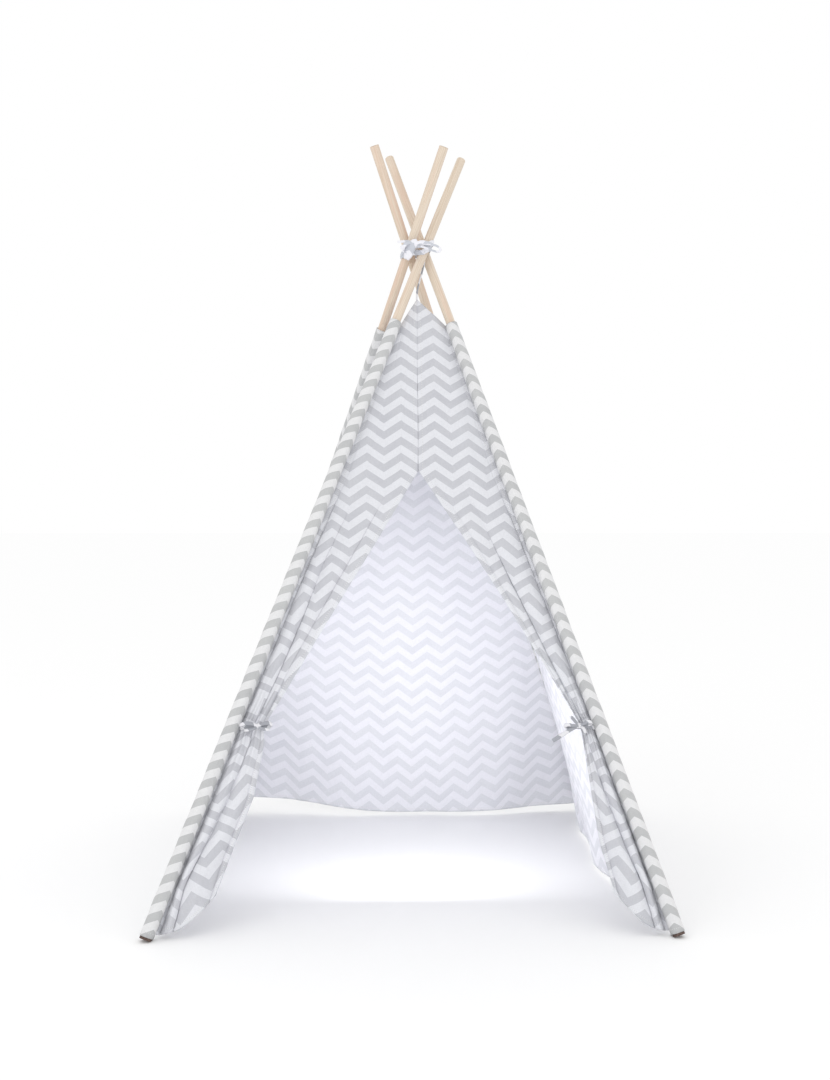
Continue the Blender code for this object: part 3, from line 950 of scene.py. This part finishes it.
# The lashing's turns: height, tilt across and in depth, gap to the poles, width, and where its print starts
CROWN_TURNS = (
    (1.3930, 0.006, 0.004, 0.0008, 0.010, 0.000),
    (1.3790, 0.009, 0.003, 0.0018, 0.011, 0.021),
    (1.3850, 0.014, -0.006, 0.0030, 0.009, 0.013),
)
CROWN_KNOT = Vector((0.0125, -0.0735, 1.3880))
CROWN_KNOT_SIZE = (0.0075, 0.0068, 0.0048)
CROWN_AXES = (Vector((1, 0, 0)), Vector((0, 0, 1)), Vector((0, -1, 0)))
CROWN_STRANDS = (
    # broad turn drawn down over the front left pole
    (
        ((6, 7, 1), (-2, 3, 3), (-10, -8, 3), (-15, -22, 1), (-19, -31, -4)),
        (0.012, 0.018, 0.022, 0.020, 0.012), 0.1, False,
    ),
    # loop hanging to the lower left
    (
        ((0, 0, 2), (-12, 3, 6), (-22, -2, 8), (-27, -13, 6), (-20, -15, 3), (-9, -7, 2), (0, -1, 1)),
        (0.005, 0.008, 0.009, 0.008, 0.007, 0.005), 0.2, True,
    ),
    # tail to the left
    (((0, 1, 1), (-14, 6, 3), (-28, 6, 4), (-38, 5, 3)), (0.005, 0.007, 0.006, 0.0045), 0.3, False),
    # second, shorter tail
    (((0, 0, 2), (-12, 0, 5), (-24, -3, 6), (-32, -9, 5)), (0.005, 0.006, 0.006, 0.005), 0.0, False),
    # long thin loop to the right, open, so that it keeps facing forwards
    (
        (
            (0, 0, 1), (14, 2, 5), (34, 0, 7), (50, -5, 7), (56, -12, 7), (51, -17, 7), (36, -13, 7),
            (16, -5, 4), (0, -1, 1),
        ),
        (0.005, 0.006, 0.005, 0.005, 0.0045, 0.005, 0.005), 0.4, False,
    ),
    # tail to the right
    (((0, 1, 2), (13, 5, 5), (28, 3, 7), (40, -2, 7)), (0.006, 0.008, 0.007, 0.006), 0.2, False),
)


def band_route(height, tilt_x, tilt_y, gap, samples=72):
    """Return a closed tight route round the four poles at the crown, and the way it faces."""
    route, looks = [], []
    for number in range(samples + 1):
        angle = math.tau * number / samples
        facing = Vector((math.cos(angle), math.sin(angle), 0))
        level = height + tilt_x * facing.x + tilt_y * facing.y
        centres = [axis_point(corner, level) for corner in CORNERS]
        furthest = max(centres, key=lambda centre: centre.dot(facing))
        route.append(furthest + facing * (POLE_RADIUS * 1.06 + gap))
        looks.append(facing)
    return route, looks


def build_crown():
    """Lash the crown: three slanting turns of ribbon, a broad turn over the front pole, and a loose bow."""
    bands = []
    for height, tilt_x, tilt_y, gap, width, phase in CROWN_TURNS:
        route, looks = band_route(height, tilt_x, tilt_y, gap)
        bands.append(ribbon_shape(route, looks, (width,), phase, steps=2, curl=0.06, crumple=0.0009))
    add_ribbon("crown_lashing_cloth", joined(bands), "crown", ["crown_lashing"], LASH_PRINT, 0.0010)
    bow = bow_shape(CROWN_KNOT, CROWN_AXES, CROWN_KNOT_SIZE, CROWN_STRANDS, 0.009, 0.0)
    add_ribbon("crown_bow_cloth", bow, "crown", ["crown_bow"], LASH_PRINT, 0.0008)


def build_string():
    """Make the peak's short string: a narrow strip of the print, twisted into a cord."""
    route = curve_through(STRING_ROUTE, 6)
    columns = 12
    points, prints, sewing = [], [], []
    run = 0.0
    for number, here in enumerate(route):
        ahead = (route[min(number + 1, len(route) - 1)] - route[max(number - 1, 0)]).normalized()
        side = ahead.cross(Vector((0, -1, 0))).normalized()
        front = side.cross(ahead).normalized()
        if number:
            run += (here - route[number - 1]).length
        line, print_line, sewing_line = [], [], []
        for column in range(columns + 1):
            angle = math.tau * column / columns
            twist = angle + run * STRING_TWIST
            radius = STRING_WIDE / 2 * (0.90 + 0.12 * abs(math.sin(twist)))
            line.append(here + (side * math.cos(angle) + front * math.sin(angle)) * radius)
            print_line.append((twist * 0.0013, run))
            sewing_line.append((UNSEWN, run))
        points.append(line)
        prints.append(print_line)
        sewing.append(sewing_line)
    shape = woven_grid(points, prints, sewing)
    bmesh.ops.remove_doubles(shape, verts=shape.verts, dist=WELD)
    ends = [edge for edge in shape.edges if edge.is_boundary]
    bmesh.ops.holes_fill(shape, edges=ends, sides=0)
    bmesh.ops.recalc_face_normals(shape, faces=shape.faces)
    piece = add_piece("peak_string_cord", shape, [RIBBON_PRINT], None, ["peak_string"])
    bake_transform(piece)


# ---------------------------------------------------------------- studio

# Each light's name, place, what it is aimed at, width and watts
LIGHTS = (
    ("key", (-2.6, -3.4, 2.6), (0, 0, 0.6), 2.4, 16),
    ("front", (0.6, -4.2, 1.2), (0, 0, 0.6), 2.4, 12),
    ("inside", (0.0, -0.33, 0.26), (0, 0.4, 0.38), 0.36, 1.50),
)


def build_studio():
    """Set a wide white floor under a white sky, with broad soft lights and one inside the tent."""
    shape = bmesh.new()
    bmesh.ops.create_grid(shape, x_segments=4, y_segments=4, size=60)
    mesh = bpy.data.meshes.new("studio_floor")
    shape.to_mesh(mesh)
    shape.free()
    paper, tree, shader = new_material("white_paper_floor", Roughness=0.95, Specular_IOR_Level=0.0)
    place = add_node(tree, "ShaderNodeTexCoord").outputs["Object"]
    tooth = noise_node(tree, place, 300, 2)
    colour = blend_colours(tree, tooth, linear("FFFFFF"), linear("FCFCFC"))
    tree.links.new(colour, shader.inputs["Base Color"])
    mesh.materials.append(paper)
    floor = bpy.data.objects.new("studio_floor", mesh)
    bpy.context.scene.collection.objects.link(floor)

    world = bpy.data.worlds.new("studio")
    world.use_nodes = True
    background = world.node_tree.nodes["Background"]
    background.inputs["Color"].default_value = (1, 1, 1, 1)
    background.inputs["Strength"].default_value = 1.0
    bpy.context.scene.world = world
    bpy.context.scene.view_settings.view_transform = "Standard"
    for name, place, aim, size, power in LIGHTS:
        data = bpy.data.lights.new(name, "AREA")
        data.shape = "DISK"
        data.size = size
        data.energy = power
        lamp = bpy.data.objects.new(name, data)
        lamp.location = place
        lamp.visible_camera = False
        lamp.rotation_euler = (Vector(aim) - Vector(place)).to_track_quat("-Z", "Y").to_euler()
        bpy.context.scene.collection.objects.link(lamp)


# ---------------------------------------------------------------- assembly

build_string()
build_poles()
build_sleeve("front_left", 0.03, ZIGZAG_WIDE * 0.23)
build_sleeve("front_right", -0.25, ZIGZAG_WIDE * 0.68)
build_sleeve("back_right", 0.03, ZIGZAG_WIDE * 0.23)
build_sleeve("back_left", -0.25, ZIGZAG_WIDE * 0.68)
build_wall("left", "back_left", "front_left", Vector((1, 0, 0)), 0.065, 1.0)
build_wall("right", "front_right", "back_right", Vector((-1, 0, 0)), 0.065, 1.0)
build_wall("back", "back_right", "back_left", Vector((0, -1, 0)), 0.055, 0.85, lift=0.027)
build_front_half("left")
build_front_half("right")
build_tie("left")
build_tie("right")
build_crown()
build_studio()
